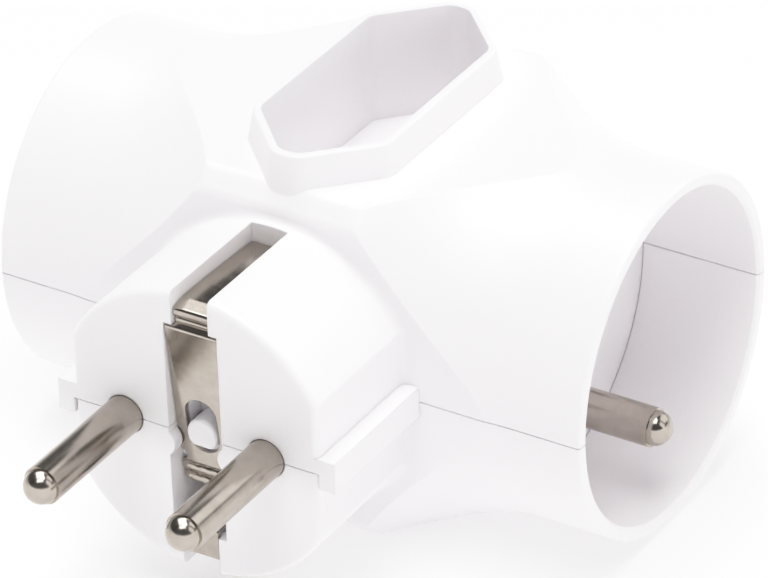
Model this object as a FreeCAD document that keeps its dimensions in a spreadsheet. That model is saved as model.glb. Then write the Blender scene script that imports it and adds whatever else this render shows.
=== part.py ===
import FreeCAD, Part

import math
import os
import re

import Sketcher

# A three-way adapter for earthed round-pin sockets: a plug with two live pins and side earth clips in front, a round
# earthed socket cup at each end, and a flat two-pin socket on top. Two moulded shells part at the plane through the
# pins. The origin is the middle of the plug's face on that plane, +Z is up, +X runs to the right cup and +Y runs from
# the plug into the housing.

SIZES = [
    # Housing
    ("face_to_axis", 40.6, "plug face to the cups' common axis"),
    ("cup_reach", 39.5, "middle of the housing to a cup's rim"),
    ("rim_radius", 22.1, "outer radius of the cups"),
    ("rim_wall", 1.7, "wall of a cup round its recess"),
    ("rim_edge", 0.35, "eased edges of a cup's rim"),
    ("cup_depth", 15.6, "rim to the floor of the recess"),
    ("block_half", 22.3, "middle of the housing to its flat faces"),
    ("block_radius", 29.9, "corners of the housing, across the cups' axis"),
    ("block_edge", 1.8, "rounding between the flat faces and the turned form"),
    ("flare_reach", 30.5, "middle of the housing to where the cups start to flare"),
    ("flare_radius", 28.8, "hollow curve of the flare"),
    ("shell_wall", 2.0, "wall of the shells round the inner space"),
    ("shell_gap", 0.08, "fine joint between the two shells"),
    # Plug
    ("plug_radius", 18.65, "round sides of the plug"),
    ("plug_flat", 16.45, "middle of the plug to its side flats"),
    ("plug_corner", 0.9, "rounding between the round sides and the flats"),
    ("plug_edge", 0.8, "rounding round the plug's face"),
    ("plug_root", 1.0, "hollow rounding where the plug meets the housing"),
    ("rib_proud", 2.15, "side rib beyond the flat"),
    ("rib_half", 2.0, "half thickness of a side rib"),
    # Live pins of the plug
    ("pin_radius", 2.4, "radius of the round pins"),
    ("neck_radius", 2.2, "radius of the pins behind their outer length"),
    ("pin_length", 19.0, "pin beyond the plug's face"),
    ("pin_pitch", 19.0, "distance between two live pins or contact holes"),
    ("dome_radius", 2.15, "rounded tip of a pin"),
    ("collar_radius", 3.6, "collar that holds a pin in the shells"),
    ("collar_start", 4.0, "plug face to the pin's collar"),
    ("collar_thick", 2.0, "collar along the pin"),
    ("tail_reach", 26.9, "plug face to the inner end of a live pin"),
    ("tail_flat", 1.9, "flat under the inner end of a pin, below its middle"),
    ("running_fit", 0.06, "clearance round pieces held by the shells"),
    # Socket faces and earth pins in the cups
    ("socket_drop", 0.5, "contact holes below the shells' joint"),
    ("socket_thick", 2.4, "disc that forms the floor of a cup"),
    ("socket_lip", 0.55, "disc beyond the recess, held in a groove"),
    ("hole_radius", 2.75, "contact holes of the cups"),
    ("earth_offset", 10.0, "earth pin below the contact holes"),
    ("earth_length", 15.1, "earth pin beyond the cup's floor"),
    ("earth_room", 0.5, "inner end of an earth pin to the side of a link"),
    ("earth_collar", 3.6, "collar of the earth pin behind the disc"),
    ("earth_collar_thick", 1.8, "thickness of that collar"),
    # Flat two-pin socket on top
    ("euro_half_width", 9.13, "outside of the raised wall, across"),
    ("euro_half_length", 20.0, "outside of the raised wall, along the plug's direction"),
    ("euro_tip_half", 1.6, "half of the short end of the outline"),
    ("euro_rise", 4.0, "raised wall above the flat top"),
    ("euro_wall", 0.9, "raised wall"),
    ("euro_draft", 0.17, "outward slope of the raised wall"),
    ("euro_corner", 3.0, "rounding of the outline's corners"),
    ("euro_edge", 0.3, "eased outer edge of the raised wall"),
    ("euro_depth", 14.2, "top of the raised wall to the socket's floor"),
    ("euro_floor", 2.0, "floor of the flat socket"),
    ("euro_well_wall", 1.5, "wall of the flat socket inside the housing"),
    ("euro_hole", 2.5, "contact holes for the thin pins"),
    # Earth strips, bent from sheet
    ("strip_thick", 0.5, "sheet of the earth strips"),
    ("strip_half", 3.45, "half width of a strip on the plug's face"),
    ("clip_half", 2.35, "half width of a side clip"),
    ("clip_level", 16.1, "inner face of a side clip above the pins"),
    ("clip_slot", 17.1, "plug face to the end of the clip's slot"),
    ("clip_room", 0.25, "clip's inner end to the end of its slot"),
    ("clip_crest", 6.0, "plug face to the highest place of a clip"),
    ("clip_fall", 0.45, "how far a clip falls to its inner end"),
    ("clip_bend", 1.9, "strip's front to where the clip dips"),
    ("fold_pitch", 0.5, "height of one fold between clip and strip"),
    ("fold_deep", 1.05, "deep fold behind the strip's front"),
    ("fold_low", 0.5, "shallow folds behind the strip's front"),
    ("strip_front", 0.6, "plug face to the back of a strip at its top"),
    ("strip_slope", 2.2, "how far the upper strip leans in at its lower end"),
    ("strip_shoulder", 14.0, "where the upper strip widens, above the pins"),
    ("strip_turn", 6.4, "where the upper strip turns in, below the pins"),
    ("turn_run", 0.5, "each of the short runs that turn the strip in"),
    ("leaf_upper", 7.1, "upper contact leaf below the pins"),
    ("leaf_lower", 12.4, "lower contact leaf below the pins"),
    ("leaf_reach", 14.1, "plug face to the inner ends of the leaves"),
    ("leaf_bow", 0.6, "bow of the upper leaf towards the earth pin"),
    ("leaf_pad", 2.0, "level end of the upper leaf, on the earth bar"),
    ("strip_hole", 2.15, "half width of the long hole in the upper strip"),
    ("hole_top", 4.1, "top of the long hole above the pins"),
    ("hole_low", 3.4, "bottom of the long hole below the pins"),
    ("notch_radius", 0.8, "notches in the strip's edges below the hole"),
    ("notch_level", 4.6, "notches below the pins"),
    ("strip_play", 0.12, "room round the strips in their channels"),
    ("peg_radius", 2.05, "peg of the lower shell in the strip's hole"),
    ("peg_level", 0.75, "peg's middle below the pins"),
    ("peg_flat", 2.2, "flat underside of the peg below the pins"),
    ("peg_front", 1.25, "plug face to the peg's front"),
    ("peg_root", 4.4, "plug face to the peg's root"),
    ("peg_edge", 0.4, "rounding of the peg's front"),
    ("nub_radius", 1.9, "nubs that hold the strip's edges"),
    ("nub_proud", 0.7, "nub beyond the channel's side"),
    ("nub_level", 2.2, "nubs below the pins"),
    ("nub_depth", 1.6, "plug face to the nubs' back"),
    # Bars inside
    ("bar_thick", 0.8, "sheet of the bars and links"),
    ("bar_half", 3.0, "half width of a live bar"),
    ("bar_end", 1.1, "live bar's end to the socket face"),
    ("bar_level", 7.6, "top of the live bars below the pins"),
    ("earth_half", 4.0, "half width of the earth bar"),
    ("earth_end", 2.0, "earth bar's end to the socket face"),
    ("stem_half", 3.0, "half width of the earth bar's stem"),
    ("eye_rim", 2.5, "earth bar round the front screw's passage"),
    ("link_half", 2.5, "half width of a link"),
    ("link_room", 0.6, "inner space's front wall to the links"),
    ("link_level", 9.8, "top of the long link where it passes below the near bar"),
    ("link_rise", 2.0, "long link's upright to the far bar"),
    # Contacts inside
    ("contact_thick", 0.6, "spring sheet of the contacts"),
    ("contact_gap", 2.2, "half of the gap that grips a thick pin"),
    ("contact_flare", 0.8, "how far the contact's mouth opens"),
    ("contact_room", 0.3, "a cup contact to the side of a link"),
    ("contact_end", 1.3, "a cup contact to the socket face"),
    ("contact_rise", 3.4, "top of a cup contact above the pins"),
    ("grip_half", 1.5, "half height of the straight part that grips a pin"),
    ("thin_gap", 1.8, "half of the gap that grips a thin pin"),
    ("thin_room", 2.1, "a thin-pin contact to the flat socket's underside"),
    ("thin_grip", 3.0, "top of a thin-pin contact to the middle of its grip"),
    ("thin_half", 2.5, "half width of a thin-pin contact"),
    # Ribs, bosses and screws
    ("rest_side", 2.4, "rib under the end of a live bar"),
    ("rest_room", 1.0, "a rib's inner end to the side of a link"),
    ("post_side", 4.0, "square post under the earth bar"),
    ("post_inset", 8.5, "socket face to a post of the earth bar"),
    ("boss_radius", 3.0, "boss round a closing screw"),
    ("boss_side", 9.5, "middle of the housing to a rear screw"),
    ("boss_depth", 15.8, "cups' axis to the screws"),
    ("screw_radius", 1.45, "shank of a closing screw"),
    ("screw_head", 2.8, "head of a closing screw"),
    ("head_thick", 2.0, "height of that head"),
    ("head_play", 0.3, "room round the head in its recess"),
    ("slot_wide", 0.9, "driver slot in the head"),
    ("passage_room", 0.15, "room round a screw's shank and a boss"),
    ("seat_room", 1.5, "a head's recess to the earth bar"),
    ("screw_room", 2.5, "screw's tip to the flat socket's underside"),
    ("recess_wall", 1.3, "wall round a screw head's recess"),
]

ALONG = {
    "x": FreeCAD.Rotation(FreeCAD.Vector(0, 1, 0), 90),
    "y": FreeCAD.Rotation(FreeCAD.Vector(1, 0, 0), -90),
    "z": FreeCAD.Rotation(),
}
# A sketch's own two directions lie along these pairs of axes
PLANES = {
    "xy": FreeCAD.Rotation(),
    "xz": FreeCAD.Rotation(FreeCAD.Vector(1, 0, 0), 90),
    "yz": FreeCAD.Rotation(FreeCAD.Vector(1, 1, 1), 120),
}
BEYOND = "5"
SUNK = "1"
EARTH_TOP = "(socket_drop + earth_offset + tail_flat)"
WELL_UNDER = "(block_half + euro_rise - euro_depth - euro_floor)"
SCREW_TIP = f"({WELL_UNDER} - screw_room)"
CLIP_END = "(clip_slot - clip_room)"
HEAD_SEAT = f"({EARTH_TOP} + bar_thick + recess_wall + seat_room)"
DISC_FRONT = "(cup_reach - cup_depth)"
DISC_BACK = "(cup_reach - cup_depth - socket_thick)"
LINK_SIDE = "(pin_pitch / 2 + link_half)"
PLUG_LENGTH = "(face_to_axis - block_half)"
LINK_START = f"({PLUG_LENGTH} + shell_wall + link_room)"
NEAR_POLE = "(face_to_axis - pin_pitch / 2)"
FAR_POLE = "(face_to_axis + pin_pitch / 2)"

doc = FreeCAD.newDocument("MultiSocketAdapter")
sheet = doc.addObject("Spreadsheet::Sheet", "sizes")
for row, (alias, size, note) in enumerate(SIZES, 1):
    sheet.set(f"A{row}", note)
    sheet.set(f"B{row}", str(size))
    sheet.setAlias(f"B{row}", alias)
doc.recompute()

NAMES = re.compile(r"\b(" + "|".join(alias for alias, size, note in SIZES) + r")\b")


def in_sheet(text):
    """Turns the sizes' own words into references to the sheet's cells."""
    return NAMES.sub(r"sizes.\1", text)


def value(text):
    """The present value of an expression in the sizes."""
    return float(sheet.evalExpression(in_sheet(text)))


def bind(item, path, text):
    item.setExpression(path, in_sheet(text))


def place(item, x="0", y="0", z="0", turn=None):
    if turn is not None:
        item.Placement = FreeCAD.Placement(FreeCAD.Vector(), turn)
    for axis, text in zip("xyz", (x, y, z)):
        bind(item, f"Placement.Base.{axis}", text)
    return item


def box(name, size, corner):
    """A block from its lowest corner, with its three sizes."""
    item = doc.addObject("Part::Box", name)
    for path, text in zip(("Length", "Width", "Height"), size):
        bind(item, path, text)
    return place(item, *corner)


def rod(name, radius, length, start, axis):
    """A cylinder that runs along an axis from its start."""
    item = doc.addObject("Part::Cylinder", name)
    bind(item, "Radius", radius)
    bind(item, "Height", length)
    return place(item, *start, turn=ALONG[axis])


def fuse(name, *items):
    item = doc.addObject("Part::MultiFuse", name)
    item.Shapes = list(items)
    item.Refine = True
    return item


def cut(name, base, *tools):
    item = doc.addObject("Part::Cut", name)
    item.Base = base
    item.Tool = tools[0] if len(tools) == 1 else fuse(f"{name}_tools", *tools)
    item.Refine = True
    return item


def common(name, *items):
    item = doc.addObject("Part::MultiCommon", name)
    item.Shapes = list(items)
    item.Refine = True
    return item


def sketch_points(sketch, edge_count, closed, corners, loose):
    """Ties each corner's two places to the sheet, apart from those that an arc settles."""
    last = edge_count - 1
    for number, corner in enumerate(corners):
        edge, end = (number, 1) if number < edge_count else (last, 2)
        for side, kind in enumerate(("DistanceX", "DistanceY")):
            if (number, side) in loose:
                continue
            index = sketch.addConstraint(Sketcher.Constraint(kind, -1, 1, edge, end, value(corner[side])))
            bind(sketch, f"Constraints[{index}]", corner[side])
    for edge in range(last + closed):
        sketch.addConstraint(Sketcher.Constraint("Coincident", edge, 2, (edge + 1) % edge_count, 1))


def outline(name, plane, corners, closed=True, bends=None, loose=()):
    """A sketch through the given corners; bends gives the centres of the edges that are arcs turning left."""
    sketch = doc.addObject("Sketcher::SketchObject", name)
    sketch.Placement = FreeCAD.Placement(FreeCAD.Vector(), PLANES[plane])
    places = [FreeCAD.Vector(value(x), value(y), 0) for x, y in corners]
    edge_count = len(corners) if closed else len(corners) - 1
    for number in range(edge_count):
        start, end = places[number], places[(number + 1) % len(places)]
        if bends and number in bends:
            centre = FreeCAD.Vector(*(value(text) for text in bends[number]), 0)
            sketch.addGeometry(short_arc(centre, start, end))
        else:
            sketch.addGeometry(Part.LineSegment(start, end))
    sketch_points(sketch, edge_count, closed, corners, loose)
    for number in bends or {}:
        for side, kind in enumerate(("DistanceX", "DistanceY")):
            text = bends[number][side]
            index = sketch.addConstraint(Sketcher.Constraint(kind, -1, 1, number, 3, value(text)))
            bind(sketch, f"Constraints[{index}]", text)
    return sketch


def short_arc(centre, start, end):
    """The short arc between two places, as an edge that keeps their order."""
    radius = (start - centre).Length
    middle = ((start + end) * 0.5 - centre).normalize() * radius + centre
    return Part.Arc(start, middle, end)


def turned(name, sketch):
    """The solid that an outline over the X axis makes when turned about it."""
    item = doc.addObject("Part::Revolution", name)
    item.Source = sketch
    item.Axis = FreeCAD.Vector(1, 0, 0)
    item.Angle = 360
    item.Solid = True
    return item


def swept(name, sketch, direction, length, both_ways=False):
    item = doc.addObject("Part::Extrusion", name)
    item.Base = sketch
    item.DirMode = "Custom"
    item.Dir = FreeCAD.Vector(*direction)
    bind(item, "LengthFwd", length)
    item.Symmetric = both_ways
    item.Solid = True
    return item


def sheet_metal(name, sketch, thickness, direction, width):
    """Sheet bent along an open outline, on the outline's left side, and wide enough across it."""
    skin = doc.addObject("Part::Offset2D", f"{name}_section")
    skin.Source = sketch
    bind(skin, "Value", thickness)
    skin.Mode = "Skin"
    skin.Join = "Arc"
    skin.Fill = True
    doc.recompute()
    return swept(name, skin, direction, width, both_ways=True)


def rounded(name, base, radius, chosen):
    """Rounds the edges that the test chooses."""
    doc.recompute()
    edges = [number for number, edge in enumerate(base.Shape.Edges, 1) if chosen(edge)]
    item = doc.addObject("Part::Fillet", name)
    item.Base = base
    item.Edges = [(number, radius, radius) for number in edges]
    return item


def near(first, second):
    return abs(first - second) < 1e-4


def flare_profile(name, wall):
    """Half section of the housing's turned form, drawn inside the outer skin by the given wall."""
    reach = ("flare_reach", f"rim_radius - {wall}")
    middle_height = "rim_radius + flare_radius"
    fall = f"({middle_height} - block_radius + {wall})"
    top = (f"(flare_reach - sqrt((flare_radius + {wall}) ^ 2 - {fall} ^ 2))", f"block_radius - {wall}")
    corners = [("-cup_reach", "0"), ("-cup_reach", reach[1]), (f"-{reach[0]}", reach[1]), (f"-{top[0]}", top[1])]
    corners += [top, reach, ("cup_reach", reach[1]), ("cup_reach", "0")]
    bends = {2: ("-flare_reach", middle_height), 4: ("flare_reach", middle_height)}
    return outline(name, "xy", corners, bends=bends, loose={(3, 0), (4, 0)})


def square_bar(name, half, reach):
    """A bar of square section about the cups' axis."""
    side = f"2 * ({half})"
    return box(name, (f"2 * {reach}", side, side), (f"-({reach})", f"face_to_axis - ({half})", f"-({half})"))


def cup_bodies():
    """The round outside of each cup, whole from its rim to behind its socket face."""
    length = "cup_depth + socket_thick + shell_wall"
    start = f"{DISC_BACK} - shell_wall"
    return [mirrored_rod(f"{name}_cup", side, "rim_radius", length, start, "face_to_axis", "0")
            for name, side in (("left", -1), ("right", 1))]


def block_rounding():
    """The rounding of the flat faces' edges, smaller where the corner between two flats is narrow."""
    turn = math.acos(min(1.0, value("block_half / block_radius")))
    corner_width = value("block_radius") * (math.pi / 2 - 2 * turn)
    if corner_width <= 0:
        return value("block_edge")
    return min(value("block_edge"), 0.45 * corner_width / math.tan(turn / 2))


def sharp_edge(shape, edge):
    """Whether an edge lies between two faces that meet at an angle there."""
    faces = shape.ancestorsOfType(edge, Part.Face)
    if len(faces) != 2:
        return False
    middle = edge.valueAt((edge.FirstParameter + edge.LastParameter) / 2)
    first, second = (face.normalAt(*face.Surface.parameter(middle)) for face in faces)
    return abs(first.dot(second)) < 0.99


def housing_form():
    """The cups and the block between them: one turned form with flared ends, cut flat on four sides."""
    turned_form = place(turned("turned_form", flare_profile("turned_outline", "0")), y="face_to_axis")
    cornered = common("cornered_block", turned_form, square_bar("flat_sides", "block_half", "(cup_reach + 1)"))
    doc.recompute()
    open_end = value("cup_reach") - 0.01

    def between_faces(edge):
        return abs(edge.BoundBox.Center.x) < open_end and sharp_edge(cornered.Shape, edge)

    block = rounded("block_form", cornered, block_rounding(), between_faces)
    sharp = fuse("sharp_form", block, *cup_bodies())
    doc.recompute()
    rim = value("cup_reach")

    def at_rim(edge):
        box_of = edge.BoundBox
        return near(abs(box_of.XMin), rim) and box_of.XLength < 0.01

    return rounded("housing_form", sharp, value("rim_edge"), at_rim)


def inner_space():
    """The hollow between the two socket faces."""
    turned_space = place(turned("turned_space", flare_profile("space_outline", "shell_wall")), y="face_to_axis")
    return common("inner_space", turned_space, square_bar("space_sides", "block_half - shell_wall", DISC_BACK))


def plug_outline(name):
    """The plug's section: round above and below, flat at both sides, with rounded corners between."""
    middle = ("(plug_flat - plug_corner)", "sqrt((plug_radius - plug_corner) ^ 2 - (plug_flat - plug_corner) ^ 2)")
    share = "plug_radius / (plug_radius - plug_corner)"
    touch = (f"({middle[0]} * {share})", f"({middle[1]} * {share})")
    corners = [("plug_flat", f"-{middle[1]}"), ("plug_flat", middle[1]), touch, (f"-{touch[0]}", touch[1])]
    corners += [("-plug_flat", middle[1]), ("-plug_flat", f"-{middle[1]}"), (f"-{touch[0]}", f"-{touch[1]}")]
    corners.append((touch[0], f"-{touch[1]}"))
    bends = {1: middle, 2: ("0", "0"), 3: (f"-{middle[0]}", middle[1])}
    bends.update({5: (f"-{middle[0]}", f"-{middle[1]}"), 6: ("0", "0"), 7: (middle[0], f"-{middle[1]}")})
    return outline(name, "xz", corners, bends=bends, loose={(2, 1), (3, 1), (4, 0), (6, 1), (7, 1), (0, 0)})


def plug_form():
    """The plug's body with its rounded face, long enough to end inside the housing."""
    body = swept("plug_body", plug_outline("plug_section"), (0, 1, 0), "face_to_axis - block_half / 2")
    edge_radius = min(value("plug_edge"), 0.95 * value("plug_corner"))
    return rounded("plug_form", body, edge_radius, lambda edge: near(edge.BoundBox.YMax, 0))


def plug_cove():
    """The hollow rounding where the plug meets the housing, led round the plug's outline."""
    foot = f"{PLUG_LENGTH} - plug_root"
    inner = f"plug_flat - {SUNK} / 2"
    corners = [("plug_flat + plug_root", f"{PLUG_LENGTH} + {SUNK}"), ("plug_flat + plug_root", PLUG_LENGTH)]
    corners += [("plug_flat", foot), (inner, foot), (inner, f"{PLUG_LENGTH} + {SUNK}")]
    section = outline("cove_section", "xy", corners, bends={1: ("plug_flat + plug_root", foot)}, loose={(2, 0)})
    start = "-sqrt((plug_radius - plug_corner) ^ 2 - (plug_flat - plug_corner) ^ 2)"
    place(section, z=start)
    route = plug_outline("cove_route")
    doc.recompute()
    ring = doc.addObject("Part::Sweep", "plug_cove")
    ring.Sections = [section]
    ring.Spine = (route, [f"Edge{number}" for number in range(1, 9)])
    ring.Solid = True
    return ring


def body_form():
    """Housing and plug in one, with the hollow rounding between them."""
    return fuse("body_form", housing_form(), plug_form(), plug_cove())


def euro_outline(name, inset):
    """The flat socket's long outline with its two blunt ends, drawn smaller by the inset."""
    half = f"(euro_half_width - ({inset}))"
    length = f"(euro_half_length - ({inset}))"
    tip = f"(euro_tip_half - ({inset}) * tan(22.5))"
    shoulder = f"({length} - {half} + {tip})"
    quarter = [(half, shoulder), (tip, length)]
    corners = quarter + [(f"-{x}", y) for x, y in reversed(quarter)]
    corners += [(f"-{x}", f"-{y}") for x, y in quarter] + [(x, f"-{y}") for x, y in reversed(quarter)]
    return place(outline(name, "xy", corners), y="face_to_axis")


def upright_edge(edge):
    box_of = edge.BoundBox
    return box_of.ZLength > 1 and math.hypot(box_of.XLength, box_of.YLength) < 0.5 * box_of.ZLength


def euro_collar():
    """The raised wall, which widens a little towards the flat top."""
    sunk = f"(3 * {SUNK})"
    foot = euro_outline("collar_foot", f"-euro_draft * (euro_rise + {sunk})")
    top = euro_outline("collar_top", "0")
    place(foot, y="face_to_axis", z=f"block_half - {sunk}")
    place(top, y="face_to_axis", z="block_half + euro_rise")
    loft = doc.addObject("Part::Loft", "collar_loft")
    loft.Sections = [foot, top]
    loft.Solid = True
    loft.Ruled = True
    block = rounded("collar_block", loft, value("euro_corner"), upright_edge)
    level = value("block_half + euro_rise")
    return rounded("euro_collar", block, value("euro_edge"), lambda edge: near(edge.BoundBox.ZMin, level))


def euro_prism(name, inset, bottom, height, corner):
    """The outline's prism with rounded corners, from a level upwards."""
    sketch = euro_outline(f"{name}_outline", inset)
    bind(sketch, "Placement.Base.z", bottom)
    return rounded(name, swept(f"{name}_raw", sketch, (0, 0, 1), height), corner, upright_edge)


def mirrored_rod(name, side, radius, length, near_end, y, z):
    """A cylinder along X on one side of the middle; side is 1 for the right and -1 for the left."""
    start = near_end if side > 0 else f"-({near_end}) - ({length})"
    return rod(name, radius, length, (start, y, z), "x")


def rim_mouth(name, side):
    """The bevel at a cup's inner edge."""
    radius = "rim_radius - rim_wall"
    item = doc.addObject("Part::Cone", f"{name}_mouth")
    bind(item, "Radius1", radius)
    bind(item, "Radius2", f"{radius} + rim_edge + {SUNK}")
    bind(item, "Height", f"rim_edge + {SUNK}")
    turn = FreeCAD.Rotation(FreeCAD.Vector(0, 1, 0), 90 * side)
    return place(item, x=f"{side} * (cup_reach - rim_edge)", y="face_to_axis", turn=turn)


def cup_hollows():
    """The recess of each cup, its bevelled mouth and the groove that holds its socket face."""
    hollows = []
    radius = "rim_radius - rim_wall"
    axis = ("face_to_axis", "0")
    for name, side in (("left", -1), ("right", 1)):
        groove = (f"{radius} + socket_lip + running_fit", "socket_thick + 2 * running_fit")
        hollows.append(mirrored_rod(f"{name}_groove", side, *groove, f"{DISC_BACK} - running_fit", *axis))
        deep = f"cup_depth + {BEYOND}"
        hollows.append(mirrored_rod(f"{name}_recess", side, radius, deep, DISC_FRONT, *axis))
        hollows.append(rim_mouth(name, side))
    return hollows


def live_places():
    return (("left", "-pin_pitch / 2"), ("right", "pin_pitch / 2"))


def pin_channels():
    """Seats of the plug's live pins, with a wider seat for each collar."""
    channels = []
    for name, x in live_places():
        seat = ("pin_radius + running_fit", f"{PLUG_LENGTH} + shell_wall + {BEYOND}")
        channels.append(rod(f"{name}_channel", *seat, (x, "-1", "0"), "y"))
        wide = ("collar_radius + running_fit", "collar_thick + 2 * running_fit")
        channels.append(rod(f"{name}_collar_seat", *wide, (x, "collar_start - running_fit", "0"), "y"))
    return channels


def strip_channel():
    """The opening on the plug's face for the strips, the two clip slots, and the space for the earth contact."""
    back = "strip_front + strip_play"
    pocket_floor = f"({EARTH_TOP} + bar_thick + strip_play)"
    top = "strip_shoulder + strip_play"
    corners = [("-1", f"-{pocket_floor}"), ("-1", top), (f"{back} + 1.5 * fold_low", top)]
    corners += [(f"{back} + strip_slope", "-strip_turn")]
    deep = f"{PLUG_LENGTH} + shell_wall + 1"
    corners += [(deep, "-strip_turn"), (deep, f"-{pocket_floor}")]
    sketch = outline("channel_outline", "yz", corners)
    wide = swept("face_channel", sketch, (1, 0, 0), "2 * (strip_half + strip_play)", True)
    slots = []
    half = "(clip_half + strip_play)"
    floor = "(clip_level - clip_fall - strip_play)"
    for name, low in (("upper", floor), ("lower", "-plug_radius - 1")):
        size = (f"2 * {half}", "clip_slot + 1", f"plug_radius + 1 - {floor}")
        slots.append(box(f"{name}_slot", size, (f"-{half}", "-1", low)))
    necks = []
    upper_depth = f"1 + {back} + clip_bend"
    places = (("upper", top, floor, upper_depth), ("lower", f"-{floor}", f"-{pocket_floor}", f"1 + {back}"))
    for name, low, high, depth in places:
        size = (f"2 * {half}", depth, f"({high}) - ({low}) + 0.2")
        necks.append(box(f"{name}_neck", size, (f"-{half}", "-1", f"{low} - 0.1")))
    return [wide] + slots + necks


def long_hole(name, start, length):
    """The long hole of the upper strip, as a tool that runs into the plug."""
    upper, lower = "(hole_top - strip_hole)", "(strip_hole - hole_low)"
    ends = []
    for end, z in (("top", upper), ("low", lower)):
        ends.append(rod(f"{name}_{end}", "strip_hole", length, ("0", start, z), "y"))
    size = ("2 * strip_hole", length, f"{upper} - {lower}")
    return fuse(name, *ends, box(f"{name}_middle", size, ("-strip_hole", start, lower)))


def screw_places():
    """Each closing screw's name and its place across and along."""
    rear = "face_to_axis + boss_depth"
    front = ("front", "0", "face_to_axis - boss_depth")
    return [front, ("rear_left", "-boss_side", rear), ("rear_right", "boss_side", rear)]


def half_space(name, upper):
    """A block that takes everything on one side of the shells' joint."""
    size = "4 * cup_reach"
    z = "shell_gap / 2" if upper else f"-shell_gap / 2 - ({size})"
    return box(name, (size, size, size), (f"-({size}) / 2", f"face_to_axis - ({size}) / 2", z))


def side_ribs(name, clearance):
    """The plug's side ribs, from its face back to the housing."""
    ribs = []
    height = f"2 * (rib_half + {clearance})"
    for side, x in (("left", "-plug_flat - rib_proud"), ("right", f"plug_flat - {SUNK}")):
        size = (f"rib_proud + {SUNK}", f"{PLUG_LENGTH} + {SUNK} / 2", height)
        ribs.append(box(f"{name}_{side}", size, (x, "0", f"-(rib_half + {clearance})")))
    return ribs


def upper_shell(form, hollow):
    """The top half, with both side ribs, the flat socket and the screw bosses."""
    half = cut("upper_hollow", common("upper_half", form, half_space("above", True)), hollow)
    inner_corner = max(value("euro_corner - euro_wall"), 0.6)
    roof = "(block_half - shell_wall / 2)"
    outside = "euro_wall - euro_well_wall"
    well = euro_prism("euro_well", outside, WELL_UNDER, f"{roof} - {WELL_UNDER}", value("euro_corner"))
    bosses = []
    for name, x, y in screw_places():
        top = WELL_UNDER if name == "front" else roof
        length = f"{top} + {SUNK} / 2 - shell_gap / 2"
        bosses.append(rod(f"upper_boss_{name}", "boss_radius", length, (x, y, "shell_gap / 2"), "z"))
    ribs = cut("rib_inside", fuse("rib_pair", *side_ribs("rib", "0")), lower_flats())
    solid = fuse("upper_solid", half, well, common("upper_bosses", fuse("upper_boss_set", *bosses), form), ribs)
    pocket_height = f"euro_depth + {BEYOND}"
    openings = [euro_prism("euro_pocket", "euro_wall", f"{WELL_UNDER} + euro_floor", pocket_height, inner_corner)]
    for name, y in (("near", NEAR_POLE), ("far", FAR_POLE)):
        start = ("0", y, f"{WELL_UNDER} - {BEYOND}")
        openings.append(rod(f"euro_hole_{name}", "euro_hole", f"euro_floor + 2 * {BEYOND}", start, "z"))
    for name, x, y in screw_places():
        openings.append(rod(f"pilot_{name}", "screw_radius + running_fit", f"{SCREW_TIP} + 2", (x, y, "-1"), "z"))
    openings.append(long_hole("peg_room", "0", "peg_root + strip_play"))
    return cut("upper_shell", solid, *openings, *pin_channels(), *strip_channel())


def lower_flats():
    """The lower half of the plug between its flats, which the ribs lie against."""
    size = ("2 * (plug_flat + running_fit)", "face_to_axis", "plug_radius + shell_gap / 2")
    return box("lower_flats", size, ("-plug_flat - running_fit", "-1", "-plug_radius"))


def bar_rests():
    """Ribs on the lower shell's floor under the ends of the live bars, and posts under the earth bar."""
    items = []
    floor = "-(block_half - shell_wall / 2)"
    start = f"({LINK_SIDE} + rest_room)"
    length = f"({DISC_BACK} - bar_end - {start})"
    low_start = f"({DISC_BACK} - post_inset - post_side / 2)"
    for side in ("left", "right"):
        for pole, y in (("near", NEAR_POLE), ("far", FAR_POLE)):
            height = "block_half - shell_wall / 2 - bar_level - bar_thick"
            x = start if side == "right" else f"-{start} - {length}"
            corner = (x, f"{y} - rest_side / 2", floor)
            items.append(box(f"rest_{pole}_{side}", (length, "rest_side", height), corner))
        height = f"block_half - shell_wall / 2 - {EARTH_TOP} - bar_thick"
        x = low_start if side == "right" else f"-{low_start} - post_side"
        corner = (x, "face_to_axis - post_side / 2", floor)
        items.append(box(f"earth_post_{side}", ("post_side", "post_side", height), corner))
    return items


def strip_holders():
    """The peg in the strip's long hole, and the nubs over the strip's edges."""
    stem = rod("peg_stem", "peg_radius", "peg_root - peg_front", ("0", "peg_front", "-peg_level"), "y")
    doc.recompute()
    front = value("peg_front")
    peg = rounded("peg_rounded", stem, value("peg_edge"), lambda edge: near(edge.BoundBox.YMax, front))
    below = box("peg_below", ("4 * peg_radius", "peg_root", "2 * peg_radius"),
                ("-2 * peg_radius", "0", "-peg_flat - 2 * peg_radius"))
    items = [cut("peg", peg, below)]
    centre = "(strip_half + strip_play + nub_radius - nub_proud)"
    for side, sign in (("left", "-"), ("right", "")):
        items.append(rod(f"nub_{side}", "nub_radius", "nub_depth", (f"{sign}{centre}", "0", "-nub_level"), "y"))
    return items


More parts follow.
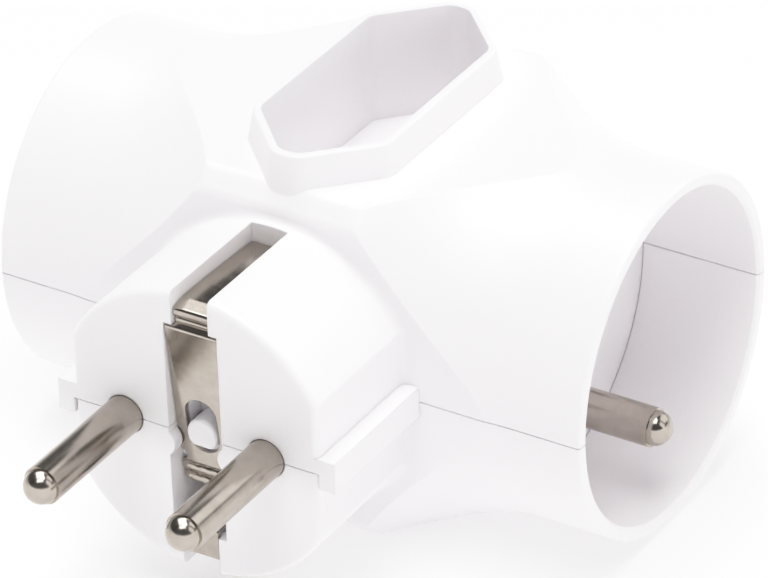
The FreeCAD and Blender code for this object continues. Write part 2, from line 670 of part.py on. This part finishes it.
def lower_shell(form, hollow):
    """The bottom half, with the ribs for the bars, the recesses of the screws and what holds the strip."""
    half = cut("lower_hollow", common("lower_half", form, half_space("below", False)), hollow)
    bosses = []
    recess_radius = "screw_head + head_play"
    base = f"-block_half + {SUNK}"
    for name, x, y in screw_places():
        length = f"block_half - {SUNK} - shell_gap / 2"
        bosses.append(rod(f"lower_boss_{name}", "boss_radius", length, (x, y, base), "z"))
        wide = (f"{recess_radius} + recess_wall", f"block_half - {SUNK} - {HEAD_SEAT} + recess_wall")
        bosses.append(rod(f"wide_boss_{name}", *wide, (x, y, base), "z"))
    inside = common("lower_bosses", fuse("lower_boss_set", *bosses, *bar_rests()), form)
    rib_rooms = fuse("rib_rooms", *side_ribs("rib_room", "running_fit"))
    openings = [cut("rib_notches", rib_rooms, lower_core())]
    for name, x, y in screw_places():
        passage = ("screw_radius + passage_room", "block_half + 1")
        openings.append(rod(f"passage_{name}", *passage, (x, y, "-block_half"), "z"))
        recess = (recess_radius, f"block_half - {HEAD_SEAT} + {BEYOND}")
        openings.append(rod(f"recess_{name}", *recess, (x, y, f"-block_half - {BEYOND}"), "z"))
    body = cut("lower_body", fuse("lower_solid", half, inside), *openings, *lower_channels())
    return fuse("lower_shell", body, *strip_holders())


def lower_core():
    """The lower half of the plug inside its flats, which the ribs' notches leave alone."""
    size = ("2 * plug_flat", "face_to_axis", "plug_radius")
    return box("lower_core", size, ("-plug_flat", "-1", "-plug_radius"))


def lower_channels():
    """The lower shell shares the seats and channels of the upper one."""
    return [doc.getObject(name) for name in CHANNEL_NAMES]


CHANNEL_NAMES = ["left_channel", "left_collar_seat", "right_channel", "right_collar_seat", "face_channel"]
CHANNEL_NAMES += ["upper_slot", "lower_slot", "upper_neck", "lower_neck"]


def socket_face(name, side):
    """The disc that forms a cup's floor, with two contact holes and the earth pin's hole."""
    radius = "rim_radius - rim_wall + socket_lip"
    disc = mirrored_rod(f"{name}_disc", side, radius, "socket_thick", DISC_BACK, "face_to_axis", "0")
    depth = ("socket_thick + 2", f"{DISC_BACK} - 1")
    holes = []
    for pole, y in (("near", NEAR_POLE), ("far", FAR_POLE)):
        holes.append(mirrored_rod(f"{name}_{pole}_hole", side, "hole_radius", *depth, y, "-socket_drop"))
    earth = ("face_to_axis", "-socket_drop - earth_offset")
    holes.append(mirrored_rod(f"{name}_earth_hole", side, "pin_radius + running_fit", *depth, *earth))
    return cut(f"{name}_socket_face", disc, *holes)


def round_pin(name, tip, bare, root, collar, collar_radius):
    """A pin turned about X, tip first: domed tip, outer length, thinner neck with a collar, and a tail."""
    shoulder = f"{tip} - dome_radius"
    start, end = collar
    corners = [(tip, "0"), (shoulder, "dome_radius"), (shoulder, "pin_radius"), (bare, "pin_radius")]
    corners += [(bare, "neck_radius"), (end, "neck_radius"), (end, collar_radius), (start, collar_radius)]
    corners += [(start, "neck_radius"), (root, "neck_radius"), (root, "0")]
    sketch = outline(f"{name}_outline", "xy", corners, bends={0: (shoulder, "0")}, loose={(0, 0)})
    return turned(f"{name}_turned", sketch)


def plug_pin(name, x):
    """A live pin of the plug, held by its collar between the shells and flat under its inner end."""
    collar = ("-collar_start - collar_thick", "-collar_start")
    pin = round_pin(name, "pin_length", "0", "-tail_reach", collar, "collar_radius")
    place(pin, x=x, turn=FreeCAD.Rotation(FreeCAD.Vector(0, 0, 1), -90))
    size = ("4 * pin_radius", f"tail_reach - {LINK_START} + {BEYOND}", "pin_radius")
    corner = (f"{x} - 2 * pin_radius", LINK_START, "-tail_flat - pin_radius")
    return cut(name, pin, box(f"{name}_flat", size, corner))


def earth_pin(name, side):
    """The earth pin of a cup, with a collar behind the socket face and a flat on the earth bar."""
    root = f"({LINK_SIDE} + earth_room)"
    collar = (f"{DISC_BACK} - earth_collar_thick", DISC_BACK)
    pin = round_pin(name, f"{DISC_FRONT} + earth_length", DISC_FRONT, root, collar, "earth_collar")
    turn = FreeCAD.Rotation(FreeCAD.Vector(0, 0, 1), 0 if side > 0 else 180)
    place(pin, y="face_to_axis", z="-socket_drop - earth_offset", turn=turn)
    length = f"{DISC_BACK} - earth_collar_thick - {root} + {BEYOND}"
    near_end = f"{root} - {BEYOND}"
    start = near_end if side > 0 else f"-({near_end}) - ({length})"
    corner = (start, "face_to_axis - 2 * pin_radius", f"-{EARTH_TOP} - pin_radius")
    return cut(name, pin, box(f"{name}_flat", (length, "4 * pin_radius", "pin_radius"), corner))


# The folds between clip and strip: places behind the strip's front, and steps of the fold pitch below the clip
FOLDS = [("fold_low / 2", 0.7), ("fold_low / 2", 1.2), ("fold_deep", 2.1), ("fold_low", 3.1)]
FOLDS += [("fold_low * 1.2", 4.2), ("0", 5.2)]


def upper_earth_strip():
    """Clip on top of the plug, folded down into the strip on its face, and the upper leaf of the earth contact."""
    path = [(CLIP_END, "clip_level - clip_fall"), ("clip_crest", "clip_level")]
    path.append(("strip_front + clip_bend", "clip_level"))
    path += [(f"strip_front + {depth}", f"clip_level - {step} * fold_pitch") for depth, step in FOLDS]
    lower = "strip_front + strip_slope"
    path += [(lower, "-strip_turn"), (f"{lower} + turn_run / 3", "-(strip_turn + 2 * leaf_upper) / 3")]
    path += [(f"{lower} + turn_run", "-leaf_upper"), ("leaf_reach / 2", "-leaf_upper - leaf_bow / 2")]
    path += [("leaf_reach - leaf_pad", "-leaf_upper"), ("leaf_reach", "-leaf_upper")]
    sketch = outline("upper_strip_path", "yz", path, closed=False)
    raw = sheet_metal("upper_strip_raw", sketch, "strip_thick", (1, 0, 0), "2 * strip_half")
    away = [long_hole("strip_hole_tool", "-2", "strip_front + strip_slope + 4")]
    for side, x, edge in (("left", "-strip_half - 1", "-strip_half"), ("right", "clip_half", "strip_half")):
        size = ("strip_half - clip_half + 1", "clip_slot + 4", "plug_radius - strip_shoulder + 2")
        away.append(box(f"strip_side_{side}", size, (x, "-2", "strip_shoulder")))
        notch = ("notch_radius", "strip_front + strip_slope + 4")
        away.append(rod(f"strip_notch_{side}", *notch, (edge, "-2", "-notch_level"), "y"))
    return cut("upper_earth_strip", raw, *away)


def lower_earth_strip():
    """Clip under the plug and the lower leaf of the earth contact."""
    leaf = "-leaf_lower - strip_thick"
    path = [(CLIP_END, "-clip_level + clip_fall"), ("clip_crest", "-clip_level")]
    path += [("strip_front", "-clip_level"), ("strip_front", leaf), ("leaf_reach", leaf)]
    sketch = outline("lower_strip_path", "yz", path, closed=False)
    return sheet_metal("lower_earth_strip", sketch, "-strip_thick", (1, 0, 0), "2 * clip_half")


def earth_bar():
    """T-shaped plate under the cups' earth pins, with a stem to the plug whose end is turned up."""
    low = f"-{EARTH_TOP} - bar_thick"
    reach = f"({DISC_BACK} - earth_end)"
    across_size = (f"2 * {reach}", "2 * earth_half", "bar_thick")
    across = box("earth_cross", across_size, (f"-{reach}", "face_to_axis - earth_half", low))
    stem_size = ("2 * stem_half", "face_to_axis - leaf_reach", "bar_thick")
    stem = box("earth_stem", stem_size, ("-stem_half", "leaf_reach", low))
    eye = rod("earth_eye", "boss_radius + eye_rim", "bar_thick", ("0", "face_to_axis - boss_depth", low), "z")
    up_size = ("2 * stem_half", "bar_thick", f"{EARTH_TOP} + bar_thick - leaf_upper + strip_thick")
    upright = box("earth_upright", up_size, ("-stem_half", "leaf_reach", low))
    hole_start = ("0", "face_to_axis - boss_depth", f"{low} - bar_thick")
    passage = rod("earth_passage", "boss_radius + passage_room", "4 * bar_thick", hole_start, "z")
    return cut("earth_bar", fuse("earth_plate", across, stem, eye, upright), passage)


def live_bar(name, y):
    """A straight bar that joins the contacts of one pole."""
    reach = f"({DISC_BACK} - bar_end)"
    size = (f"2 * {reach}", "2 * bar_half", "bar_thick")
    return box(name, size, (f"-{reach}", f"{y} - bar_half", "-bar_level - bar_thick"))


def link(name, x, path):
    """A bent strip from a live pin's tail to its bar."""
    sketch = outline(f"{name}_path", "yz", path, closed=False)
    return place(sheet_metal(name, sketch, "bar_thick", (1, 0, 0), "2 * link_half"), x=x)


def neutral_link():
    path = [(LINK_START, "-tail_flat"), ("tail_reach", "-tail_flat"), ("tail_reach", "-bar_level + bar_thick")]
    path += [(f"{NEAR_POLE} + bar_half", "-bar_level + bar_thick")]
    return link("neutral_link", "-pin_pitch / 2", path)


def line_link():
    rise = f"{FAR_POLE} - bar_half - link_rise"
    path = [(LINK_START, "-tail_flat"), ("tail_reach", "-tail_flat"), ("tail_reach", "-link_level")]
    path += [(rise, "-link_level"), (rise, "-bar_level - bar_thick")]
    path.append((f"{FAR_POLE} + bar_half", "-bar_level - bar_thick"))
    return link("line_link", "pin_pitch / 2", path)


def gripping_path(gap, rise, grip):
    """One open outline of a fork that stands on a bar and grips a pin between its two leaves."""
    mouth = f"({gap} + contact_flare)"
    foot = "-bar_level + contact_thick"
    half = [(mouth, rise), (gap, f"{grip} + grip_half"), (gap, f"{grip} - grip_half"), (mouth, foot)]
    return half + [(f"-{x}", z) for x, z in reversed(half)]


def cup_contact(name, side, y):
    """Fork that grips a thick pin coming in from a cup; it stands between a link and the socket face."""
    start = f"({LINK_SIDE} + contact_room)"
    length = f"({DISC_BACK} - contact_end - {start})"
    path = gripping_path("contact_gap", "contact_rise", "-socket_drop")
    sketch = outline(f"{name}_path", "yz", path, closed=False)
    fork = sheet_metal(name, sketch, "-contact_thick", (1, 0, 0), length)
    middle = f"({start} + {length} / 2)"
    return place(fork, x=middle if side > 0 else f"-{middle}", y=y)


def thin_contact(name, y):
    """Fork that grips a thin pin coming in from the top."""
    top = f"{WELL_UNDER} - thin_room"
    path = gripping_path("thin_gap", top, f"{top} - thin_grip")
    sketch = outline(f"{name}_path", "xz", path, closed=False)
    fork = sheet_metal(name, sketch, "contact_thick", (0, -1, 0), "2 * thin_half")
    return place(fork, y=y)


def closing_screw(name, x, y):
    """A screw with a round head, driven from below; its slot crosses the head."""
    shank = rod(f"{name}_shank", "screw_radius", f"{HEAD_SEAT} + {SCREW_TIP}", (x, y, f"-{HEAD_SEAT}"), "z")
    head_low = f"-{HEAD_SEAT} - head_thick"
    head = rod(f"{name}_head", "screw_head", "head_thick", (x, y, head_low), "z")
    slot_size = ("2 * screw_head + 1", "slot_wide", "slot_wide")
    slot = box(f"{name}_slot", slot_size, (f"{x} - screw_head - 0.5", f"{y} - slot_wide / 2", f"{head_low} - 0.1"))
    return cut(name, fuse(f"{name}_body", shank, head), slot)


def build():
    form = fuse("outer_form", body_form(), euro_collar())
    hollow = fuse("hollow", inner_space(), *cup_hollows())
    nodes = [upper_shell(form, hollow), lower_shell(form, hollow)]
    for name, side in (("left", -1), ("right", 1)):
        nodes.append(socket_face(name, side))
        nodes.append(earth_pin(f"{name}_earth_pin", side))
        nodes.append(cup_contact(f"{name}_neutral_contact", side, NEAR_POLE))
        nodes.append(cup_contact(f"{name}_line_contact", side, FAR_POLE))
    nodes += [plug_pin("neutral_plug_pin", "-pin_pitch / 2"), plug_pin("line_plug_pin", "pin_pitch / 2")]
    nodes += [upper_earth_strip(), lower_earth_strip(), earth_bar()]
    nodes += [live_bar("neutral_bar", NEAR_POLE), live_bar("line_bar", FAR_POLE), neutral_link(), line_link()]
    nodes += [thin_contact("euro_neutral_contact", NEAR_POLE), thin_contact("euro_line_contact", FAR_POLE)]
    nodes += [closing_screw(f"{name}_screw", x, y) for name, x, y in screw_places()]
    return nodes


def check(nodes):
    """Stops with a plain message where an object failed or a piece isn't one or more closed solids."""
    for item in doc.Objects:
        if {"Invalid", "Error"} & set(item.State):
            raise RuntimeError(f"{item.Name} failed: {item.State}")
    for node in nodes:
        shape = node.Shape
        if shape.isNull() or not shape.isValid() or not shape.Solids:
            raise RuntimeError(f"{node.Label} has no valid solid")


nodes = build()
doc.recompute()
check(nodes)
os.makedirs("parts", exist_ok=True)
for node in nodes:
    node.Label = node.Name
    node.Shape.exportStep(f"parts/{node.Label}.step")
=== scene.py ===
import bpy
import math
from mathutils import Matrix, Vector


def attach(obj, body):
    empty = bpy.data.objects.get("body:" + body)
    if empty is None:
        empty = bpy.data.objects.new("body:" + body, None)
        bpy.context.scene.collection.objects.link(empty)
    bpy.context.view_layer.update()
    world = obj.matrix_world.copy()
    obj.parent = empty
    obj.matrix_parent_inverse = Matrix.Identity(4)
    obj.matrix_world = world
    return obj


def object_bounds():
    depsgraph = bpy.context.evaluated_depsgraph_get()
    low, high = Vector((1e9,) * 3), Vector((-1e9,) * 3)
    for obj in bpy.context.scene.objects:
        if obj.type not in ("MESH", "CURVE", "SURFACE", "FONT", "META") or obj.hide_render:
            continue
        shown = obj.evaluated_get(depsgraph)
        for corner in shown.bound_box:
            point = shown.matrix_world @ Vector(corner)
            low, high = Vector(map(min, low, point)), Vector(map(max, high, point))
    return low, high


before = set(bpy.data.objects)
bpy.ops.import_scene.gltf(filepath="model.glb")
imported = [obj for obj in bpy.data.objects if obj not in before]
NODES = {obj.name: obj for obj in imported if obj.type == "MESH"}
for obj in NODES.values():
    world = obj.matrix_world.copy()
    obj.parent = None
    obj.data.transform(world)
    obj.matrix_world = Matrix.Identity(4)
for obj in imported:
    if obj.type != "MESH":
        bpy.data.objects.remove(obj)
cad_low, cad_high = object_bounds()
scene = bpy.context.scene


def mm(*values):
    """A point in metres from coordinates in millimetres."""
    return Vector(value / 1000 for value in values)


# Materials. Noise scales are in cells to the metre, and all lengths are in metres

NOISE_SPAN = (0.3, 0.7)  # the part of a noise's range over which a colour or a gloss changes
EDGE_SOFTNESS = 0.00025
PLASTIC_RIPPLE = (0.06, 0.0004)  # strength and height
PLASTIC_GRAIN = (0.03, 0.00005)
PLASTIC_DEPTH = 0.001  # how far light goes into the plastic
PLATING_HEIGHT = 0.0001
STROKE_SHARE = 1.5  # how much stronger the strokes of plated metal are than its pits


def new_material(name):
    """A material, its shader, a maker of nodes with given inputs, and a maker of links."""
    material = bpy.data.materials.new(name)
    material.use_nodes = True
    tree = material.node_tree
    shader = tree.nodes["Principled BSDF"]

    def node(kind, inputs=None, **settings):
        made = tree.nodes.new(kind)
        for key, setting in settings.items():
            setattr(made, key, setting)
        for key, given in (inputs or {}).items():
            if isinstance(given, bpy.types.NodeSocket):
                tree.links.new(given, made.inputs[key])
            else:
                made.inputs[key].default_value = given
        return made

    def link(output, socket):
        tree.links.new(output, socket)

    return material, shader, node, link


def noise(node, place, scale, detail, roughness=0.5):
    inputs = {"Vector": place, "Scale": scale, "Detail": detail, "Roughness": roughness}
    return node("ShaderNodeTexNoise", inputs).outputs["Fac"]


def bumped(node, strength, distance, height, **beneath):
    """A normal with small heights on it; Normal says what lies beneath, if it isn't the bare surface."""
    inputs = {"Strength": strength, "Distance": distance, "Height": height, **beneath}
    return node("ShaderNodeBump", inputs).outputs["Normal"]


def ramp(node, factor, stops):
    """A colour ramp through (place, grey or colour) stops."""
    made = node("ShaderNodeValToRGB", {"Fac": factor})
    elements = made.color_ramp.elements
    for element, (place, shade) in zip(elements, stops):
        element.position = place
        element.color = (*shade, 1) if isinstance(shade, tuple) else (shade, shade, shade, 1)
    return made.outputs["Color"]


def moulded_plastic(name, base, warm, roughness):
    """White moulded plastic: faint cloudiness, soft gloss that varies, a very fine grain and eased edges."""
    material, shader, node, link = new_material(name)
    place = node("ShaderNodeTexCoord").outputs["Object"]
    cloud = noise(node, place, 55.0, 3.0)
    link(ramp(node, cloud, list(zip(NOISE_SPAN, (base, warm)))), shader.inputs["Base Color"])
    sheen = noise(node, place, 160.0, 4.0, 0.6)
    dull = node("ShaderNodeMapRange", {"Value": sheen, "From Min": NOISE_SPAN[0], "From Max": NOISE_SPAN[1],
                                       "To Min": roughness[0], "To Max": roughness[1]})
    link(dull.outputs["Result"], shader.inputs["Roughness"])
    eased = node("ShaderNodeBevel", {"Radius": EDGE_SOFTNESS}, samples=6).outputs["Normal"]
    ripple = bumped(node, *PLASTIC_RIPPLE, noise(node, place, 120.0, 2.0, 0.4), Normal=eased)
    grain = bumped(node, *PLASTIC_GRAIN, noise(node, place, 2600.0, 2.0), Normal=ripple)
    link(grain, shader.inputs["Normal"])
    shader.inputs["Subsurface Weight"].default_value = 0.15
    shader.inputs["Subsurface Radius"].default_value = (1.0, 0.9, 0.9)
    shader.inputs["Subsurface Scale"].default_value = PLASTIC_DEPTH
    shader.inputs["IOR"].default_value = 1.5
    return material


def plated_metal(name, axis, dull, bright, roughness, stroke=(30.0, 900.0), depth=0.05, polished=None):
    """Plated metal: fine strokes along an axis, soft blotches and small pits.

    Stroke gives the cells to the metre along and across the strokes. Polished gives, along the axis, where a smoother
    end starts, over what length it does, and its roughness.
    """
    material, shader, node, link = new_material(name)
    place = node("ShaderNodeTexCoord").outputs["Object"]
    along, across = stroke
    scale = [along if letter == axis else across for letter in "xyz"]
    drawn = node("ShaderNodeMapping", {"Vector": place, "Scale": scale}).outputs["Vector"]
    lines = noise(node, drawn, 1.0, 5.0, 0.6)
    blotch = noise(node, place, 420.0, 4.0, 0.6)
    pits = noise(node, place, 1500.0, 3.0, 0.7)
    link(ramp(node, blotch, [(0.3, dull), (0.75, bright)]), shader.inputs["Base Color"])
    mixed = node("ShaderNodeMix", {"Factor": 0.5, "A": lines, "B": blotch}).outputs["Result"]
    rough_of = ramp(node, mixed, list(zip(NOISE_SPAN, roughness)))
    if polished:
        start, length, shine = polished
        signed = node("ShaderNodeSeparateXYZ", {"Vector": place}).outputs["xyz".index(axis)]
        far = node("ShaderNodeMath", {0: signed}, operation="ABSOLUTE").outputs[0]
        share = node("ShaderNodeMapRange", {"Value": far, "From Min": start, "From Max": start + length})
        blend = node("ShaderNodeMix", {"Factor": share.outputs["Result"], "A": rough_of, "B": shine})
        rough_of = blend.outputs["Result"]
    link(rough_of, shader.inputs["Roughness"])
    pitted = bumped(node, depth, PLATING_HEIGHT, pits)
    link(bumped(node, depth * STROKE_SHARE, PLATING_HEIGHT, lines, Normal=pitted), shader.inputs["Normal"])
    shader.inputs["Metallic"].default_value = 1.0
    return material


NICKEL = ((0.43, 0.39, 0.345), (0.52, 0.475, 0.43))
PIN_GLOSS = (0.18, 0.265)
HOUSING = moulded_plastic("white_housing", (0.952, 0.929, 0.948), (0.960, 0.937, 0.956), (0.30, 0.37))
SOCKET = moulded_plastic("white_socket_face", (0.93, 0.903, 0.918), (0.945, 0.918, 0.932), (0.34, 0.44))
PIN_Y = plated_metal("nickel_pin_along", "y", *NICKEL, PIN_GLOSS, polished=(0.0168, 0.0004, 0.20))
PIN_X = plated_metal("nickel_pin_across", "x", *NICKEL, PIN_GLOSS, polished=(0.0368, 0.0004, 0.17))
BURR = plated_metal("nickel_burr", "x", *NICKEL, (0.14, 0.24), stroke=(300.0, 700.0), depth=0.25)
STRIP = plated_metal("nickel_strip", "x", *NICKEL, (0.16, 0.25), depth=0.04)
BRASS = plated_metal("bare_brass", "x", (0.70, 0.50, 0.22), (0.80, 0.60, 0.30), (0.29, 0.40))
STEEL = plated_metal("zinc_screw", "z", (0.50, 0.51, 0.53), (0.62, 0.63, 0.65), (0.29, 0.42))

# What isn't named here is a bar, a link or a contact, of bare brass
ENDINGS = {"_shell": HOUSING, "_socket_face": SOCKET, "_plug_pin": PIN_Y, "_earth_pin": PIN_X, "_earth_strip": STRIP,
           "_screw": STEEL}
for name, item in NODES.items():
    finish = [material for ending, material in ENDINGS.items() if name.endswith(ending)]
    item.data.materials.clear()
    item.data.materials.append(finish[0] if finish else BRASS)


# The upper strip's lower end, where the sheet is pinched and rolled over before it turns in. Each roll: its level
# below the pins, its depth behind the plug's face and its radius, in millimetres

ROLLS = [(5.95, 2.40, 0.62), (7.55, 2.80, 0.72)]
ROLL_HALF = 3.35
ROLL_LUMP = 0.03
ROLL_RINGS, ROLL_SIDES = 43, 28
ROLL_BLUNTNESS = 20  # how square the ends are: 2 would be an ellipse


def rolled_edge(name, level, depth, radius):
    """A roll of sheet across the strip, with rounded ends and a lumpy, pinched surface."""
    points = []
    for ring in range(ROLL_RINGS):
        along = math.cos(math.pi * (ring + 1) / (ROLL_RINGS + 1))
        swell = math.sqrt(1 - along ** ROLL_BLUNTNESS)
        for side in range(ROLL_SIDES):
            turn = 2 * math.pi * side / ROLL_SIDES
            lump = math.sin(23 * along + 2 * math.sin(turn)) * math.sin(5 * turn + 9 * along)
            off = (radius + ROLL_LUMP * lump) * swell
            points.append(mm(ROLL_HALF * along, depth + off * math.cos(turn), off * math.sin(turn) - level))
    faces = []
    for ring in range(ROLL_RINGS - 1):
        first, second = ring * ROLL_SIDES, (ring + 1) * ROLL_SIDES
        for side in range(ROLL_SIDES):
            beside = (side + 1) % ROLL_SIDES
            faces.append((first + side, second + side, second + beside, first + beside))
    faces.append(tuple(range(ROLL_SIDES)))
    faces.append(tuple(reversed(range(len(points) - ROLL_SIDES, len(points)))))
    mesh = bpy.data.meshes.new(name)
    mesh.from_pydata(points, [], faces)
    mesh.materials.append(BURR)
    mesh.polygons.foreach_set("use_smooth", [True] * len(mesh.polygons))
    roll = bpy.data.objects.new(name, mesh)
    scene.collection.objects.link(roll)
    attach(roll, "root")


for number, place in enumerate(ROLLS, 1):
    rolled_edge(f"strip_roll_{number}", *place)


# Floor

FLOOR_HALF = 3.0
FLOOR_GAP = 0.0002
FLOOR_GREYS = (0.60, 0.62)
FLOOR_GLOW = 0.45


def sheet_of_floor():
    """A pale seamless sheet, lit from below a little as a photographer's light table is."""
    low = cad_low.z - FLOOR_GAP
    mesh = bpy.data.meshes.new("floor")
    corners = [(x * FLOOR_HALF, y * FLOOR_HALF, low) for x, y in ((-1, -1), (1, -1), (1, 1), (-1, 1))]
    mesh.from_pydata(corners, [], [(0, 1, 2, 3)])
    floor = bpy.data.objects.new("floor", mesh)
    scene.collection.objects.link(floor)
    material, shader, node, link = new_material("pale_floor")
    place = node("ShaderNodeTexCoord").outputs["Object"]
    cloud = noise(node, place, 6.0, 2.0)
    link(ramp(node, cloud, list(zip((0.2, 0.8), FLOOR_GREYS))), shader.inputs["Base Color"])
    shader.inputs["Roughness"].default_value = 0.9
    shader.inputs["Specular IOR Level"].default_value = 0.1
    shader.inputs["Emission Color"].default_value = (1.0, 0.99, 1.0, 1)
    shader.inputs["Emission Strength"].default_value = FLOOR_GLOW
    mesh.materials.append(material)


# Camera, as fitted to the photograph in the part's own frame: angles in degrees, the eye in millimetres and the rest
# in pixels of the photograph

VIEW_AZIMUTH = 32.191
VIEW_ELEVATION = 31.920
VIEW_ROLL = -1.7915
EYE = (310.03, -447.61, 356.74)
PHOTO_WIDTH = 768
PHOTO_MIDDLE = (384, 289)
AXIS_PIXEL = (402.1, 295.2)  # where the camera looks straight ahead
FOCAL_LENGTH = 5746.2
SENSOR_WIDTH = 36


def camera_of_photo():
    """The photograph's camera."""
    azimuth, elevation = math.radians(VIEW_AZIMUTH), math.radians(VIEW_ELEVATION)
    level_part = math.cos(elevation)
    back = Vector((math.sin(azimuth) * level_part, -math.cos(azimuth) * level_part, math.sin(elevation)))
    right = Vector((0, 0, 1)).cross(back).normalized()
    level = Matrix((right, back.cross(right), back)).transposed()
    axes = level @ Matrix.Rotation(math.radians(VIEW_ROLL), 3, "Z")
    data = bpy.data.cameras.new("photo_camera")
    data.sensor_fit = "HORIZONTAL"
    data.sensor_width = SENSOR_WIDTH
    data.lens = FOCAL_LENGTH * SENSOR_WIDTH / PHOTO_WIDTH
    data.shift_x = (PHOTO_MIDDLE[0] - AXIS_PIXEL[0]) / PHOTO_WIDTH
    data.shift_y = (AXIS_PIXEL[1] - PHOTO_MIDDLE[1]) / PHOTO_WIDTH
    data.clip_start, data.clip_end = 0.05, 20
    camera = bpy.data.objects.new("photo_camera", data)
    camera.matrix_world = Matrix.Translation(mm(*EYE)) @ axes.to_4x4()
    scene.collection.objects.link(camera)
    scene.camera = camera


# The room. Directions are given as seen from the object: how far to the view's right, how far along the view, and up.
# Two ceiling lights stand over the object, the first one near the zenith. Each: from and to along the view's right,
# from and to along the view, and its radiance

CEILING_LIGHTS = [(-0.40, 0.18, -0.52, 0.60, 3.4), (0.48, 0.90, -0.60, 0.80, 1.2)]
CEILING_DARK = 0.10
BEAM = (-0.24, -0.12)  # a dark beam across both lights: from and to along the view
BEAM_SHADE = 0.9
WALL_LIGHT = 1.32
WALL_TOP = 0.24
WALL_FALL = 0.5  # how much dimmer the walls are behind the object
WALL_TURN = (0.15, 0.75)  # where they dim along the view: the middle, and how far it spreads to each side
EDGE_SPREAD = 0.03  # the same spread at the edge of a light, a beam or a wall


def studio_world():
    """White walls, dimmer behind, a dark ceiling and its two lights, as polished metal shows them."""
    world = bpy.data.worlds.new("studio")
    world.use_nodes = True
    tree = world.node_tree
    background = tree.nodes["Background"]
    look = tree.nodes.new("ShaderNodeTexCoord").outputs["Generated"]

    def node(kind, first, second, **settings):
        made = tree.nodes.new(kind)
        for key, setting in settings.items():
            setattr(made, key, setting)
        for socket, given in zip(made.inputs, (first, second)):
            if isinstance(given, bpy.types.NodeSocket):
                tree.links.new(given, socket)
            else:
                socket.default_value = given
        return made

    def share(direction):
        return node("ShaderNodeVectorMath", look, direction, operation="DOT_PRODUCT").outputs["Value"]

    def add(first, second):
        return node("ShaderNodeMath", first, second, operation="ADD").outputs[0]

    def times(first, second):
        return node("ShaderNodeMath", first, second, operation="MULTIPLY").outputs[0]

    def without(amount):
        return node("ShaderNodeMath", 1.0, amount, operation="SUBTRACT").outputs[0]

    def rise(amount, middle, spread=EDGE_SPREAD):
        made = node("ShaderNodeMapRange", amount, middle - spread, interpolation_type="SMOOTHSTEP")
        made.inputs["From Max"].default_value = middle + spread
        return made.outputs["Result"]

    def band(amount, low, high):
        return times(rise(amount, low), without(rise(amount, high)))

    azimuth = math.radians(VIEW_AZIMUTH)
    across = share((math.cos(azimuth), math.sin(azimuth), 0))
    ahead = share((-math.sin(azimuth), math.cos(azimuth), 0))
    above_walls = rise(share((0, 0, 1)), WALL_TOP)
    ceiling = CEILING_DARK
    for left, right, near, far, radiance in CEILING_LIGHTS:
        ceiling = add(times(times(band(across, left, right), band(ahead, near, far)), radiance), ceiling)
    ceiling = times(times(ceiling, without(times(band(ahead, *BEAM), BEAM_SHADE))), above_walls)
    walls = times(times(without(above_walls), WALL_LIGHT), without(times(rise(ahead, *WALL_TURN), WALL_FALL)))
    tree.links.new(add(ceiling, walls), background.inputs["Strength"])
    background.inputs["Color"].default_value = (1, 1, 1, 1)
    scene.world = world


OVERHEAD_PLACE = (0.05, 0.0, 0.85)
OVERHEAD_AIM = (0, 0.03, 0)
OVERHEAD_SIZE = (0.3, 0.5)
OVERHEAD_POWER = 2.1


def overhead_light():
    """A soft box over the object."""
    data = bpy.data.lights.new("overhead", "AREA")
    data.shape = "RECTANGLE"
    data.size, data.size_y = OVERHEAD_SIZE
    data.energy = OVERHEAD_POWER
    lamp = bpy.data.objects.new("overhead", data)
    lamp.location = OVERHEAD_PLACE
    lamp.rotation_mode = "QUATERNION"
    lamp.rotation_quaternion = (Vector(OVERHEAD_AIM) - Vector(OVERHEAD_PLACE)).to_track_quat("-Z", "Y")
    scene.collection.objects.link(lamp)


# How the photograph renders light: brightness in the scene and in the picture. Whites are lifted and flatten out
# towards the brightness that is shown as plain white

TONES = [(0.30, 0.31), (0.50, 0.535), (0.65, 0.695), (0.80, 0.825), (0.95, 0.915), (1.08, 0.965)]
PLAIN_WHITE = 1.2
ALL_COLOURS = 3  # the index of the curve that acts on red, green and blue together


def film_look():
    """Plain colours, with the bright end of the tones eased as in the photograph."""
    view = scene.view_settings
    view.view_transform = "Standard"
    view.use_curve_mapping = True
    tones = view.curve_mapping.curves[ALL_COLOURS]
    for lit, shown in TONES:
        tones.points.new(lit / PLAIN_WHITE, shown)
    view.curve_mapping.white_level = (PLAIN_WHITE,) * 3
    view.curve_mapping.update()


sheet_of_floor()
studio_world()
overhead_light()
camera_of_photo()
film_look()
